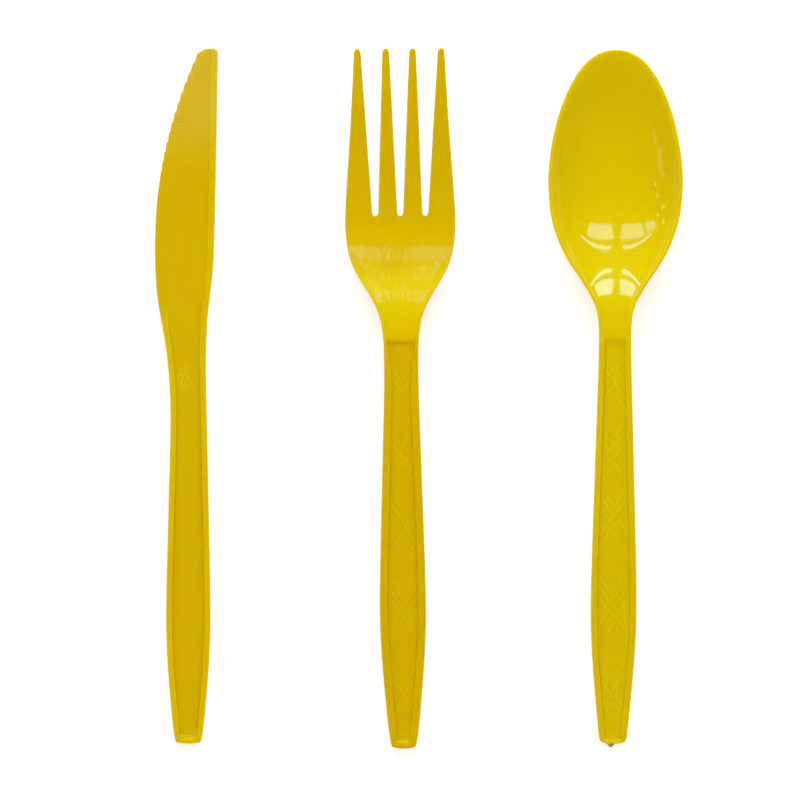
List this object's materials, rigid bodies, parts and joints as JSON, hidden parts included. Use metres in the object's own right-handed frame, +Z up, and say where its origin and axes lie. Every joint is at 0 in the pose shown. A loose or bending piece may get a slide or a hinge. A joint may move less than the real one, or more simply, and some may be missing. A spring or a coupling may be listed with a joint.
{
  "type": "disposable cutlery set",
  "caption": "Disposable plastic knife, fork and spoon with framed, lattice-patterned handles, lying side by side for a place setting.",
  "frame": {"origin": "middle of the set's plan, on the surface that the three pieces lie on", "axes": "+Y along the pieces towards the blade, tines and bowl, +X from the knife past the fork to the spoon, +Z up, with the fronts of the pieces upwards"},
  "size_m": [0.1356, 0.18, 0.013],
  "materials": {
    "knife_plastic": "glossy moulded yellow plastic",
    "fork_plastic": "glossy moulded yellow plastic",
    "spoon_plastic": "glossy moulded yellow plastic"
  },
  "bodies": {
    "root": {"knife": "knife_plastic", "fork": "fork_plastic", "spoon": "spoon_plastic"}
  },
  "joints": []
}
